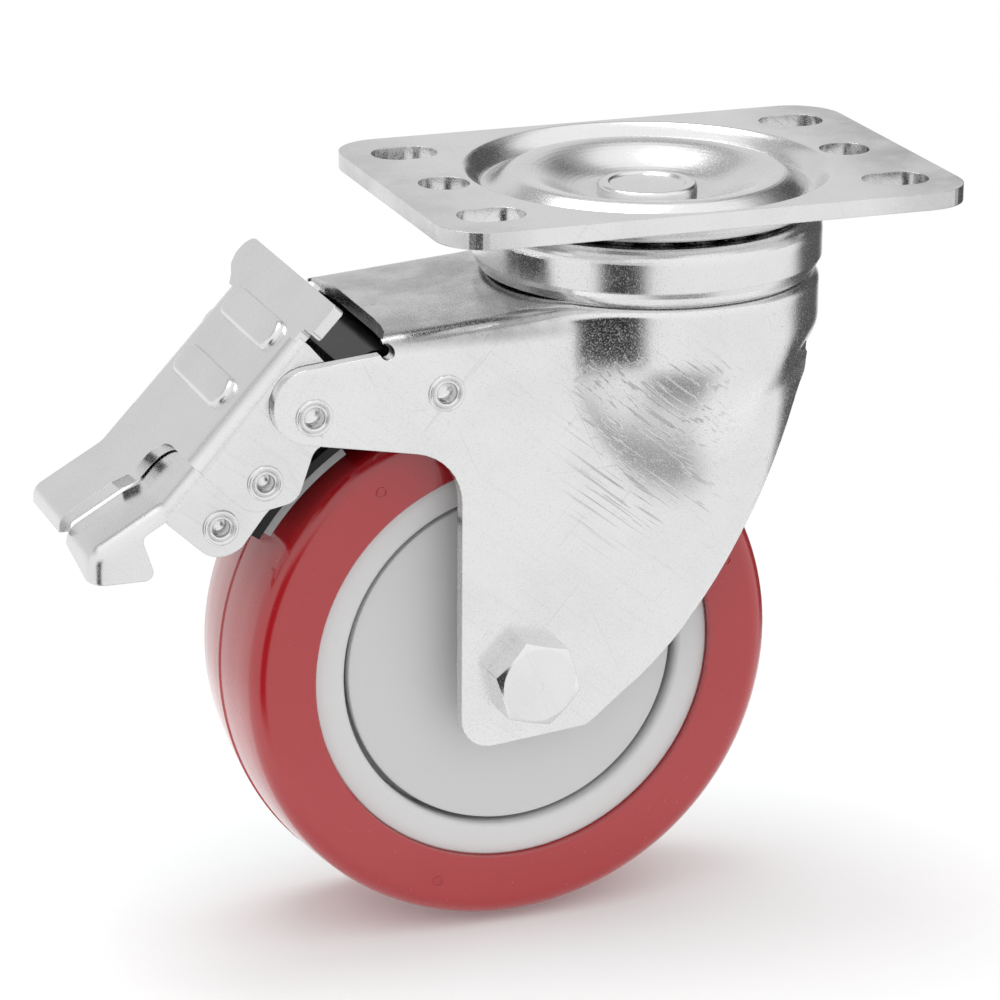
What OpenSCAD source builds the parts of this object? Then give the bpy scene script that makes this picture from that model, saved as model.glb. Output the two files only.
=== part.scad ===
// Swivel castor with a pedal brake: slotted top plate, double ball race head, pressed steel fork,
// plastic wheel with a bonded polyurethane tyre on two ball bearings, and a two-lever brake.
// The origin is the middle of the plate's top face, on the swivel axis. Z is up, the wheel trails
// towards -X and its axle lies along Y. The brake is off.

/* [Wheel] */
// Diameter over the tyre
wheel_d = 100; // [96:1:103]
// Width of the tyre
wheel_w = 32; // [28:1:33]
// Height from the floor to the top face of the plate
total_h = 134; // [133:0.5:140]
// How far the axle trails behind the swivel axis
trail = 30; // [27:0.5:32]
// Diameter of the plastic rim where the tyre is bonded to it
rim_d = 74; // [70:1:78]
// How far the faces of the rim lie inside the faces of the tyre
rim_inset = 1.5; // [0.5:0.25:2.5]
// Diameter of the round hub caps
cap_d = 61.5; // [58:0.5:63]
// Gap round a hub cap
cap_gap = 0.45; // [0.3:0.05:0.8]
// Thickness of a hub cap
cap_t = 1.6; // [1.2:0.1:2.2]
// Rounding of the tyre's shoulders
shoulder_r = 4; // [3:0.5:6]
// How much lower the tread is at its shoulders than in the middle
tread_drop = 1.2; // [0.4:0.1:1.6]

/* [Top plate] */
// Length of the plate
plate_l = 97; // [93:1:110]
// Width of the plate
plate_w = 68; // [67:1:80]
// Thickness of the plate
plate_t = 3; // [2.5:0.25:3.5]
// Rounding of the plate's corners
plate_r = 9; // [5:1:12]
// Distance between the slots along the plate
slots_x = 75; // [72:1:78]
// Distance between the slots across the plate
slots_y = 45; // [44:1:48]
// Width of a slot, for an M8 screw
slot_w = 9; // [8.5:0.5:9.5]
// Length of a slot
slot_l = 12; // [10:0.5:13]
// Distance between the two round holes on the middle line
holes_x = 76; // [75:1:78]
// Diameter of the two round holes
hole_d = 9; // [8:0.5:9.5]

/* [Swivel head] */
// Radius of the pressed dish in the plate
dish_r = 33; // [32:0.25:33.5]
// Radius of the ridge that covers the upper balls
race_r = 23.5; // [23:0.25:24]
// Diameter of the king pin's shank
pin_d = 10; // [9:0.5:11]
// Diameter of the king pin's upper head
pin_head_d = 17.8; // [16:0.2:19]
// Diameter of an upper ball
ball_d = 6; // [5.6:0.1:6.2]
// Number of upper balls
ball_n = 22; // [18:1:23]
// Diameter of a lower ball
low_ball_d = 5; // [4.6:0.1:5.2]
// Number of lower balls
low_ball_n = 16; // [12:1:17]
// Radius of the ring of lower balls
low_race_r = 14.5; // [14:0.25:15]
// Outer radius of the bearing cup
cup_r = 31.1; // [30.8:0.1:31.6]
// Number of notches in the swivel lock ring
lock_n = 24; // [20:4:28]

/* [Fork] */
// Thickness of the fork's sheet
sheet_t = 2.5; // [2:0.25:3]
// Clear width between the cheeks
fork_gap = 40; // [39:0.5:42]
// Radius of the round crown
crown_r = 30.7; // [30:0.1:31.2]
// Outer bend radius along the arm
arm_bend = 4; // [3:0.5:5]
// Diameter of the axle bolt
bolt_d = 8; // [7:0.5:9]
// Width across the flats of the bolt head and nut
bolt_af = 14; // [13:0.5:15]
// Height of the bolt head
bolt_head_h = 5.4; // [4.5:0.1:6]
// Outer diameter of the axle sleeve
sleeve_d = 12; // [11:0.5:12.5]

/* [Wheel bearings] */
// Outer diameter of a wheel bearing
bearing_d = 28; // [26:0.5:29]
// Width of a wheel bearing
bearing_w = 8; // [7:0.5:8.5]
// Ball diameter of a wheel bearing
bearing_ball_d = 4.76; // [4.4:0.02:4.9]
// Number of balls in a wheel bearing
bearing_ball_n = 8; // [6:1:9]

/* [Brake] */
// Thickness of the sheet of pedal and release lever
lever_t = 2; // [1.5:0.25:2.25]
// Diameter of the tubular pivots
pivot_d = 5; // [4.5:0.25:5.5]
// Diameter of the pivots' heads
pivot_head_d = 6.6; // [6:0.2:7]
// Diameter of the rivets in the two levers
rivet_d = 4.5; // [4:0.25:5]
// Gap between the brake shoe and the tyre when the brake is off
shoe_gap = 2; // [1.7:0.1:2.3]
// Thickness of the brake shoe
shoe_t = 1.6; // [1.2:0.1:1.9]
// Width of the shoe and of the brake arm's band
shoe_w = 28; // [20:1:29]
// Wire diameter of the return spring
wire_d = 1.2; // [1:0.1:1.4]

/* [Hidden] */
// Running clearance of a shaft in its hole, and play between faces that slide
run_fit = 0.05;
play = 0.3;
// Clearance of a ball in the groove that it rolls on
ball_play = 0.15;
$fn = 96;

// Swivel head, from the top face of the plate down
dish_depth = 3.2;
dish_valley_r = dish_r-4;
ridge_depth = 0.5;
crater_depth = 4.5;
crater_r = pin_head_d/2+1.6;
pin_head_h = 1.7;
pin_foot_h = 2.5;
pin_foot_d = 16;
ball_z = -ridge_depth-plate_t-ball_play-ball_d/2;
cup_top_z = ball_z-2.15;
cup_lip_z = -dish_depth-plate_t-0.7;
cup_floor_z = ball_z-ball_d/2-1.55;
cup_wall_t = 2;
cup_lip_r = cup_r-3;
cup_bore_r = 11.5;
low_groove = 0.6;
low_ball_z = cup_floor_z+low_groove-low_ball_d/2;
low_race_top = low_ball_z-low_ball_d/2+0.6;
low_race_t = 2.75;
low_race_d = 36;
lock_t = 2;
lock_r = 20;
lock_root_r = 16.2;
lock_top = low_race_top-low_race_t;
notch_w = 2.7;
spacer_d = 16;
crown_z = -17.7;
cup_foot_z = -14.8;
ring_in_r = 24;
ring_step = 0.4;

// Fork
cheek_in = fork_gap/2;
cheek_out = cheek_in+sheet_t;
axle = [-trail, wheel_d/2-total_h];
crown_open_r = 22;
skirt_z = crown_z-11;
blend_z0 = crown_z-8;
blend_z1 = crown_z-36;
crown_round = 1.5;
arm_slope = 4.5;
mouth_x = -54.2;
arm_root_x = -22;
arm_end_x = -76.2;
cheek_top_z = -22.8;
pedal_axis = [-69.1, -32.7];
lever_axis = [-45.4, -30.7];
leg_half = 12.5;
nut_h = 8;
washer_t = 1.6;
washer_d = 16;

// Wheel
tyre_r = wheel_d/2;
rim_r = rim_d/2;
rim_half = wheel_w/2-rim_inset;
cap_r = cap_d/2;
cap_face = rim_half-1.2;
cap_back = cap_face-cap_t;
hub_half = cap_back-0.2;
hub_r = bearing_d/2+3;
web_half = 3;
rib_n = 8;
rib_t = 2;
bearing_y = hub_half-bearing_w/2;
bearing_pitch_r = (bearing_d/2+sleeve_d/2)/2;
bearing_land = 1.8;

// Brake levers: the outer line of the pedal's web runs down and outwards from its upper end,
// then bends flatter into the tab
web_start = [-65.3, -13.3];
web_angle = 226.8;
web_cut = 37;
web_end = 44.5;
tab_angle = 209.7;
tab_l = 14.5;
tab_tip = 2.7;
tab_y0 = -1;
tab_y1 = 16.5;
fold_r = 4;
nose_r = 3;
ear_near = -22.9;
ear_far = 25.3;
ear_end = 6.4;
flange_start = 8;
ribs = [10.9, 23.8];
rib_r = 4.6;
rib_high = 1.15;
rib_half = 13.3;
pedal_out = cheek_in-play;
release_out = pedal_out-lever_t-play;
release_in = lever_t+play;
release_nose_x = -107.4;
release_foot_z = -60.3;
release_y1 = -2;
pedal_rivet_axis = [-77, -44.3];
release_rivet_axis = [-84.3, -52.2];
rivet_head_d = 6.4;
rivet_head_h = 0.7;
pivot_fit_r = pivot_d/2+run_fit;
rivet_fit_r = rivet_d/2+run_fit;

// Brake arm: its arc and its shoe lie round the place that the axle has while the brake is on
brake_swing = 3.5;
brake_rest = 0.3;
arm_centre = turned(axle, lever_axis, brake_swing);
shoe_r = tyre_r+brake_rest;
band_r = shoe_r+shoe_t;
band_t = 1.6;
arm_half = shoe_w/2+0.4;
arm_hub_r = 4;
tooth_w = 2.2;
tooth_top = lock_top-lock_t-0.55;

// A smooth step from z0 at r0 to z1 at r1, as n points
function ease(r0, z0, r1, z1, n=10) =
    [for (i = [0:n]) [r0+(r1-r0)*i/n, z0+(z1-z0)*(1-cos(180*i/n))/2]];

// Points of an arc round c
function arc(c, r, a0, a1, n=8) =
    [for (i = [0:n]) c+r*[cos(a0+(a1-a0)*i/n), sin(a0+(a1-a0)*i/n)]];

// Points of the arc of radius r that bulges to the left of the way from p to q
function bow(p, q, r, n=16) =
    let (half = norm(q-p)/2, along = (q-p)/norm(q-p), left = [-along[1], along[0]],
        c = (p+q)/2-left*sqrt(r*r-half*half),
        a0 = atan2(p[1]-c[1], p[0]-c[0]), turn = 2*asin(half/r))
    [for (i = [0:n-1]) c+r*[cos(a0-turn*i/n), sin(a0-turn*i/n)]];

// A closed outline whose corners [x, y, radius] are rounded by arcs
function rounded(pts, n=8) =
    let (m = len(pts))
    [for (i = [0:m-1])
        let (p = [pts[i][0], pts[i][1]], r = pts[i][2],
            before = [pts[(i+m-1)%m][0], pts[(i+m-1)%m][1]],
            after = [pts[(i+1)%m][0], pts[(i+1)%m][1]])
        each r <= 0 ? [p] : fillet(p, before, after, r, n)];

function fillet(p, before, after, r, n) =
    let (u = (before-p)/norm(before-p), v = (after-p)/norm(after-p),
        half = acos(u*v)/2, c = p+(u+v)/norm(u+v)*r/sin(half),
        s = p+u*r/tan(half)-c, e = p+v*r/tan(half)-c,
        a0 = atan2(s[1], s[0]), turn = atan2(s[0]*e[1]-s[1]*e[0], s*e))
    [for (i = [0:n]) c+r*[cos(a0+turn*i/n), sin(a0+turn*i/n)]];

// A point in x and z turned round another, towards the side that lifts the wheel's brake
function turned(p, c, a) =
    let (v = p-c) c+[v[0]*cos(a)+v[1]*sin(a), v[1]*cos(a)-v[0]*sin(a)];

// The directions along and inwards of a line that runs at an angle
function along(a) = [cos(a), sin(a)];
function inwards(a) = [-sin(a), cos(a)];

// Points of the levers' side view, measured along the pedal's web and inwards from it
function on_web(s, inward) = web_start+s*along(web_angle)+inward*inwards(web_angle);

// The corner of two lines, each moved inwards
function corner(p, a, b, inward) =
    p+inward*(inwards(a)+inwards(b))/(1+inwards(a)*inwards(b));

// An outline in x and z made solid across the castor
module across(w, y=0) {
    translate([0, y, 0]) rotate([90, 0, 0]) linear_extrude(w, center=true) children();
}

// A round bar across the castor at a point in x and z
module bar(at, r, w, y=0) {
    translate([at[0], y, at[1]]) rotate([90, 0, 0]) cylinder(r=r, h=w, center=true);
}

// A shape turned round the axle, drawn as radius and place across the castor
module about_axle() {
    translate([axle[0], 0, axle[1]]) rotate([90, 0, 0]) rotate_extrude() children();
}

module hex(af, h) {
    cylinder(d=af/cos(30), h=h, $fn=6);
}

module slot(at) {
    translate([at[0], at[1], -plate_t-1]) {
        for (side = [-1, 1]) translate([side*(slot_l-slot_w)/2, 0, 0]) cylinder(d=slot_w, h=plate_t+2);
        translate([-(slot_l-slot_w)/2, -slot_w/2, 0]) cube([slot_l-slot_w, slot_w, plate_t+2]);
    }
}

// The dish of the plate, from its edge inwards: a valley, the ridge over the balls and the crater
function dish_line() = concat(
    ease(dish_r, 0, dish_valley_r, -dish_depth),
    ease(dish_valley_r, -dish_depth, race_r, -ridge_depth),
    ease(race_r, -ridge_depth, crater_r, -crater_depth, 14));

module top_plate() {
    color("lightsteelblue") {
        difference() {
            translate([0, 0, -plate_t]) linear_extrude(plate_t)
                polygon(rounded([[plate_l/2, plate_w/2, plate_r], [-plate_l/2, plate_w/2, plate_r],
                    [-plate_l/2, -plate_w/2, plate_r], [plate_l/2, -plate_w/2, plate_r]], 12));
            translate([0, 0, -plate_t-1]) cylinder(r=dish_r, h=plate_t+2);
            for (x = [-1, 1], y = [-1, 1]) slot([x*slots_x/2, y*slots_y/2]);
            for (x = [-1, 1]) translate([x*holes_x/2, 0, -plate_t-1]) cylinder(d=hole_d, h=plate_t+2);
        }
        line = concat(dish_line(), [[pin_d/2+run_fit, -crater_depth]]);
        rotate_extrude() polygon(concat(line,
            [for (i = [len(line)-1:-1:0]) line[i]-[0, plate_t]]));
    }
}

module king_pin() {
    head_top = -crater_depth+pin_head_h;
    foot_z = lock_top-lock_t;
    color("gainsboro") rotate_extrude() polygon(concat(
        [[0, head_top-0.3], [pin_head_d/2-2.3, head_top-0.3], [pin_head_d/2-2, head_top]],
        arc([pin_head_d/2-0.8, head_top-0.8], 0.8, 90, 0, 4),
        [[pin_head_d/2, -crater_depth], [pin_d/2, -crater_depth], [pin_d/2, foot_z],
            [pin_foot_d/2, foot_z]],
        arc([pin_foot_d/2-1.5, foot_z-pin_foot_h+1.5], 1.5, 0, -90, 4),
        [[0, foot_z-pin_foot_h]]));
}

module pin_spacer() {
    color("gray") translate([0, 0, low_race_top]) difference() {
        cylinder(d=spacer_d, h=-crater_depth-plate_t-low_race_top);
        translate([0, 0, -1]) cylinder(r=pin_d/2+run_fit, h=20);
    }
}

module lower_race() {
    color("silver") difference() {
        translate([0, 0, low_race_top-low_race_t]) cylinder(d=low_race_d, h=low_race_t);
        translate([0, 0, low_race_top-low_race_t-1]) cylinder(r=pin_d/2+run_fit, h=low_race_t+2);
        rotate_extrude() translate([low_race_r, low_ball_z]) circle(r=low_ball_d/2+ball_play, $fn=48);
    }
}

module lock_ring() {
    color("silver") difference() {
        translate([0, 0, lock_top-lock_t]) cylinder(r=lock_r, h=lock_t);
        translate([0, 0, lock_top-lock_t-1]) cylinder(r=pin_d/2+run_fit, h=lock_t+2);
        for (i = [0:lock_n-1]) rotate(180+i*360/lock_n)
            translate([lock_root_r, -notch_w/2, lock_top-lock_t-1]) cube([6, notch_w, lock_t+2]);
    }
}

// The cup turns with the fork: its rim carries the upper balls and hangs over the lower ones
module bearing_cup() {
    r_in = cup_r-cup_wall_t;
    color("lightsteelblue") rotate_extrude() difference() {
        polygon(concat(
            [[cup_bore_r, cup_floor_z], [cup_bore_r, cup_top_z], [race_r+1.2, cup_top_z]],
            ease(race_r+2.4, cup_top_z, cup_lip_r-0.6, cup_lip_z, 6),
            arc([cup_r-3.4, cup_lip_z-3.4], 3.4, 80, 0, 8),
            [[cup_r, cup_foot_z], [r_in, cup_foot_z]],
            arc([r_in-2, cup_floor_z-2], 2, 0, 90, 5)));
        translate([race_r, ball_z]) circle(d=ball_d, $fn=48);
        translate([low_race_r, low_ball_z]) circle(d=low_ball_d, $fn=48);
    }
}

module crown_ring() {
    color("silver") rotate_extrude() polygon([
        [ring_in_r, crown_z], [ring_in_r, cup_foot_z], [cup_r-0.2, cup_foot_z],
        [cup_r-0.5, cup_foot_z-1], [cup_r-1.3, crown_z+ring_step],
        [cup_r-2.3, crown_z+ring_step], [cup_r-2.3, crown_z]]);
}

module ball_row(n, r, z, d) {
    color("whitesmoke") for (i = [0:n-1]) rotate((i+0.5)*360/n) translate([r, 0, z]) sphere(d=d, $fn=32);
}

module upper_balls() {
    ball_row(ball_n, race_r, ball_z, ball_d);
}

module lower_balls() {
    ball_row(low_ball_n, low_race_r, low_ball_z, low_ball_d);
}

// The crown's outer radius drawn in from its round wall to the flat cheeks
function crown_line(inset) = concat(
    [[crown_r-inset, blend_z0]],
    ease_r(crown_r-inset, blend_z0, cheek_out-inset-0.6, blend_z1));

function ease_r(r0, z0, r1, z1, n=12) =
    [for (i = [0:n]) [r0+(r1-r0)*(1-cos(180*i/n))/2, z0+(z1-z0)*i/n]];

module crown_block(inset) {
    top = crown_z-inset;
    round = max(0.2, crown_round-inset/2);
    rotate_extrude() polygon(concat(
        [[0, blend_z1], [0, top]],
        arc([crown_r-inset-round, top-round], round, 90, 0, 5),
        crown_line(inset)));
}

function web_z(x) = crown_z+(x-arm_root_x)*tan(arm_slope);

// The fork seen from the side
function cheek_outline() = concat(
    [[0, crown_z-4], [crown_r*0.73, crown_z-4]],
    bow([crown_r*0.735, skirt_z+2], [axle[0]+26.6, axle[1]+3.1], 106.7),
    rounded([[axle[0]+26.6, axle[1]+3.1, 0], [axle[0]+11.1, axle[1]-10.8, 3],
        [axle[0]-leg_half, axle[1]-13, 5.5], [axle[0]-leg_half, -42.6, 10],
        [arm_end_x, -36.4, 6.5], [arm_end_x, -24.8, 6.5],
        [mouth_x-0.8, cheek_top_z, 0]], 8),
    [[mouth_x, cheek_top_z], [mouth_x, web_z(mouth_x)], [arm_root_x, web_z(arm_root_x)],
        [0, crown_z]]);

// A long channel with bent upper edges that follows the slope of the arm
module channel(half, drop, bend) {
    translate([arm_root_x, 0, crown_z-drop]) rotate([0, -arm_slope, 0]) rotate([90, 0, 90])
        linear_extrude(140, center=true) polygon(concat(
            arc([half-bend, -bend], bend, 0, 90, 6),
            arc([bend-half, -bend], bend, 90, 180, 6),
            [[-half, -110], [half, -110]]));
}

module fork() {
    wide = 2*cheek_out+2;
    color("lightgray") difference() {
        union() {
            intersection() {
                across(wide) polygon(cheek_outline());
                channel(cheek_out, 0, arm_bend);
            }
            crown_block(0);
        }
        intersection() {
            across(wide) polygon([[-90, -120], [60, -120], [60, skirt_z], [18, skirt_z],
                [18, crown_z-sheet_t], [arm_root_x, crown_z-sheet_t], [-90, crown_z-sheet_t+0.1]]);
            channel(cheek_in, sheet_t, max(0.5, arm_bend-sheet_t));
        }
        intersection() {
            across(wide) polygon([[-90, -60], [mouth_x, -60], [mouth_x, crown_z], [-90, crown_z]]);
            channel(cheek_in, -4, 0.5);
        }
        crown_block(sheet_t);
        translate([0, 0, crown_z-sheet_t-1]) cylinder(r=crown_open_r, h=sheet_t+2);
        bar([mouth_x, cheek_top_z+0.6], 1.5, wide);
        bar(axle, bolt_d/2+run_fit, wide);
        bar(pedal_axis, pivot_fit_r, wide);
        bar(lever_axis, pivot_fit_r, wide);
    }
}

module axle_bolt() {
    shank = 2*cheek_out+washer_t+nut_h+1.5;
    color("silver") translate([axle[0], 0, axle[1]]) {
        translate([0, -cheek_out, 0]) rotate([90, 0, 0]) intersection() {
            rotate(-14) hex(bolt_af, bolt_head_h);
            cylinder(r1=bolt_af*0.475+bolt_head_h*sqrt(3), r2=bolt_af*0.475, h=bolt_head_h);
        }
        translate([0, -cheek_out, 0]) rotate([-90, 0, 0]) cylinder(d=bolt_d, h=shank);
    }
}

module nut_washer() {
    color("silver") difference() {
        bar(axle, washer_d/2, washer_t, cheek_out+washer_t/2);
        bar(axle, bolt_d/2+run_fit, 120);
    }
}

module axle_nut() {
    y0 = cheek_out+washer_t;
    color("silver") difference() {
        translate([axle[0], y0, axle[1]]) rotate([-90, 0, 0]) {
            hex(bolt_af, nut_h-2.2);
            cylinder(d=bolt_af-0.6, h=nut_h);
        }
        bar(axle, bolt_d/2+run_fit, 120);
    }
}

module axle_sleeve() {
    color("gray") difference() {
        bar(axle, sleeve_d/2, fork_gap);
        bar(axle, bolt_d/2+run_fit, fork_gap+2);
    }
}

// A tubular rivet through both cheeks with a spun lip at each end
module pivot(at) {
    lip = 0.7;
    color("silver") difference() {
        union() {
            bar(at, pivot_d/2, 2*cheek_out);
            for (side = [-1, 1]) bar(at, pivot_head_d/2, lip, side*(cheek_out+lip/2));
        }
        for (side = [-1, 1]) bar(at, pivot_d/2-0.8, 8, side*(cheek_out+lip-3.9));
    }
}

module pedal_pivot() {
    pivot(pedal_axis);
}

module arm_pivot() {
    pivot(lever_axis);
}

module pivot_bush() {
    w = 2*(release_out-lever_t)-8;
    color("dimgray") difference() {
        bar(pedal_axis, 3.8, w);
        bar(pedal_axis, pivot_fit_r, w+2);
    }
}

// The return spring: a coil round the bush with two straight legs
coil_r = 3.8+wire_d/2+play;
coil_turns = 5;
function spring_path() =
    let (pitch = wire_d*1.35, y0 = -coil_turns*pitch/2)
    concat(
        [[pedal_axis[0]+coil_r, y0, pedal_axis[1]-5], [pedal_axis[0]+coil_r, y0, pedal_axis[1]-2]],
        [for (i = [0:coil_turns*16]) let (a = i*360/16)
            [pedal_axis[0]+coil_r*cos(a), y0+pitch*i/16, pedal_axis[1]+coil_r*sin(a)]],
        [[pedal_axis[0]+coil_r, -y0, pedal_axis[1]+3], [pedal_axis[0]+coil_r, -y0, pedal_axis[1]+6]]);

// A round wire swept along a list of points
module wire(path, d, sides=8) {
    last = len(path)-1;
    rings = [for (i = [0:last])
        let (t = path[min(i+1, last)]-path[max(i-1, 0)], f = t/norm(t),
            u = cross([0, 1, 0], f), un = u/norm(u), v = cross(f, un))
        for (k = [0:sides-1]) path[i]+d/2*(cos(k*360/sides)*un+sin(k*360/sides)*v)];
    faces = concat(
        [[for (k = [sides-1:-1:0]) k]],
        [[for (k = [0:sides-1]) last*sides+k]],
        [for (i = [0:last-1], k = [0:sides-1])
            [i*sides+k, i*sides+(k+1)%sides, (i+1)*sides+(k+1)%sides, (i+1)*sides+k]]);
    polyhedron(rings, faces);
}

module return_spring() {
    color("dimgray") wire(spring_path(), wire_d);
}

// The side line of a tab: along the web, round the bend, over the nose and down its tip
function tab_line(p, nose, tip, inward) =
    let (bend = corner(p, web_angle, tab_angle, inward), edge = corner(nose, tab_angle, 270, inward),
        start = p+inward*inwards(web_angle)-8*along(web_angle), end = [edge[0], tip])
    concat([start], fillet(bend, start, edge, 6+inward, 5),
        fillet(edge, bend, end, nose_r-min(inward, nose_r-0.5), 6), [end]);

function reversed(pts) = [for (i = [len(pts)-1:-1:0]) pts[i]];

// A folded section with two bent edges, run along a line that starts at p
module folded(p, a, half, inset, bend) {
    translate([p[0], 0, p[1]]) rotate([0, -a, 0]) rotate([90, 0, 90])
        linear_extrude(160, center=true) polygon(concat(
            arc([half-inset-bend, inset+bend], bend, 0, -90, 6),
            arc([bend+inset-half, inset+bend], bend, -90, -180, 6),
            [[inset-half, 70], [half-inset, 70]]));
}

module capsule(at, r, half) {
    bar(at, r, 2*(half-r));
    for (side = [-1, 1]) translate([at[0], side*(half-r), at[1]]) sphere(r=r, $fn=48);
}

module pedal_body() {
    difference() {
        union() {
            intersection() {
                across(2*pedal_out) polygon(rounded([
                    each_point(on_web(flange_start, 0), 0), each_point(on_web(web_cut, 0), 0),
                    [-79.8, -49.8, 5.5], [-71.3, -48.2, 3.5], [-68.3, -39.5, 3],
                    [-63.6, -37, 4], [-63.4, -27.4, 5],
                    each_point(on_web(flange_start, 2.6), 0)], 8));
                folded(web_start, web_angle, pedal_out, 0, fold_r);
            }
            for (s = ribs) capsule(on_web(s, rib_r-rib_high), rib_r, rib_half);
        }
        folded(web_start, web_angle, pedal_out, lever_t, fold_r-lever_t);
        for (s = ribs) capsule(on_web(s, rib_r-rib_high), rib_r-1.6, rib_half-1.6);
    }
}

function each_point(p, r) = [p[0], p[1], r];

// The flat upper end of the web, with an ear on each side and a neck down to the flanges
module pedal_ears() {
    neck = pedal_out-1.2;
    translate([web_start[0], 0, web_start[1]]) rotate([0, -web_angle, 0]) linear_extrude(lever_t)
        polygon(rounded([[0, ear_near, 0.8], [ear_end, ear_near, 0.8], [ear_end, -neck, 0.8],
            [flange_start+1, -neck, 0], [flange_start+1, neck, 0], [ear_end+1.2, neck+2, 1],
            [ear_end-0.2, ear_far-1.6, 1.5], [ear_end-2.2, ear_far, 1.5], [0, ear_far, 3.2]], 6));
}

module brake_pedal() {
    bend = on_web(web_end, 0);
    nose = bend+tab_l*along(tab_angle);
    tip = nose[1]-tab_tip;
    color("gainsboro") difference() {
        union() {
            pedal_body();
            pedal_ears();
            across(tab_y1-tab_y0, (tab_y0+tab_y1)/2)
                polygon(concat(tab_line(bend, nose, tip, 0), reversed(tab_line(bend, nose, tip, lever_t))));
        }
        bar(pedal_axis, pivot_fit_r, 100);
        bar(pedal_rivet_axis, rivet_fit_r, 100);
    }
}

// A rivet through two flanges, each end with a flat head and a shallow recess
module rivet(at, half) {
    color("silver") difference() {
        union() {
            bar(at, rivet_d/2, 2*half);
            for (side = [-1, 1]) bar(at, rivet_head_d/2, rivet_head_h, side*(half+rivet_head_h/2));
        }
        for (side = [-1, 1]) bar(at, rivet_d/2-0.5, 2, side*(half+rivet_head_h));
    }
}

module pedal_rivet() {
    rivet(pedal_rivet_axis, pedal_out);
}

// The release lever's tab is pressed with a skirt on the side that shows
module release_tab(inset) {
    bend = corner(on_web(web_end, 0), web_angle, tab_angle, release_in);
    nose = bend+(bend[0]-release_nose_x)/-cos(tab_angle)*along(tab_angle);
    foot = inset > 0 ? -80 : release_foot_z;
    half = release_out-inset;
    intersection() {
        across(half+release_y1+(inset > 0 ? 5 : 0), (release_y1+(inset > 0 ? 5 : 0)-half)/2)
            polygon(concat(
                tab_line(bend, nose, foot, inset),
                inset > 0 ? [[-60, foot]] : rounded([[-104, foot, 0], [-95.7, foot, 1.5],
                    [-98.2, -52.6, 1.5], [-93.9, -50.2, 0], [-90, -46, 0]], 4)));
        folded(nose, tab_angle, release_out, inset, fold_r-1-inset);
        translate([0, 0, -90]) linear_extrude(60) polygon(rounded([
            [release_nose_x+inset, 10, 0], [release_nose_x+inset, -half, 5.5-inset],
            [-60, -half, 0], [-60, 10, 0]], 6));
    }
}

module release_lever() {
    line = on_web(0, release_in);
    color("gainsboro") difference() {
        union() {
            difference() {
                intersection() {
                    across(2*release_out) polygon(rounded([
                        each_point(on_web(33, release_in), 0), each_point(on_web(web_end, release_in), 0),
                        [-93.6, -50.7, 0], [-85.1, -58.6, 5.2], [-80.6, -56.2, 2], [-76.4, -50.8, 2],
                        [-71.2, -45.6, 4.5], [-76.2, -38, 5]], 8));
                    folded(line, web_angle, release_out, 0, fold_r-1);
                }
                folded(line, web_angle, release_out, lever_t, fold_r-1-lever_t);
            }
            difference() {
                release_tab(0);
                release_tab(lever_t);
                translate([release_nose_x-2, release_y1, release_foot_z+2.8]) rotate([10.3, 0, 0])
                    translate([0, -30, -10]) cube([20, 60, 10]);
            }
        }
        bar(pedal_rivet_axis, rivet_fit_r, 100);
        bar(release_rivet_axis, rivet_fit_r, 100);
    }
}

module release_rivet() {
    rivet(release_rivet_axis, release_out);
}

// A piece of a ring round the brake arm's centre, less than half a turn long
module sector(r0, r1, a0, a1, w) {
    mid = (a0+a1)/2;
    intersection() {
        difference() {
            bar(arm_centre, r1, w);
            bar(arm_centre, r0, w+2);
        }
        across(w+2) polygon([arm_centre, arm_centre+2*r1*along(a0), arm_centre+2*r1*along(mid),
            arm_centre+2*r1*along(a1)]);
    }
}

// The arm's cover, seen from the side: it bridges the two flanges under the fork's mouth
cover = [[-17.4, 1.1], [-16.2, 4.2], [-10.6, 6.3], [-3, 6.6], [3.4, 4.6]];
cover_inside = [[2.6, 3.2], [-3.4, 5], [-10.2, 4.7], [-15, 2.9], [-15.8, 0.9]];
function at_lever(pts) = [for (p = pts) lever_axis+p];

module brake_arm() {
    color("dimgray") difference() {
        union() {
            sector(band_r, band_r+band_t, 103, 146.5, 2*arm_half);
            across(2*arm_half) polygon(concat(at_lever(cover), at_lever(cover_inside)));
            for (side = [-1, 1]) across(band_t, side*(arm_half-band_t/2)) polygon(concat(
                at_lever(cover), arc(lever_axis, arm_hub_r, 40, -60, 6),
                arc(arm_centre, band_r+0.5, 103, 124, 8)));
            bar(lever_axis, arm_hub_r, 10);
            across(9) polygon([lever_axis+[-1, 1], lever_axis+[-1, arm_hub_r], lever_axis+[9, 6.2],
                [-lock_root_r-0.6, -23.2], [-lock_root_r-0.6, -25.6], lever_axis+[9, 2.2],
                lever_axis+[1, -2.4]]);
            across(tooth_w) polygon([[-lock_r-0.4, -24.5], [-lock_r-0.4, tooth_top-0.8],
                [-lock_r+0.2, tooth_top], [-lock_root_r-1.2, tooth_top], [-lock_root_r-0.7, tooth_top-0.6],
                [-lock_root_r-0.7, -24.5]]);
        }
        bar(lever_axis, pivot_fit_r, 60);
    }
}

module brake_shoe() {
    color("gray") sector(shoe_r, band_r, 123, 145, shoe_w);
}

module arm_spacers() {
    w = cheek_in-arm_half-2*play;
    color("silver") difference() {
        for (side = [-1, 1]) bar(lever_axis, 3.8, w, side*(cheek_in-play/2-w/2));
        bar(lever_axis, pivot_fit_r, 60);
    }
}

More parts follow.
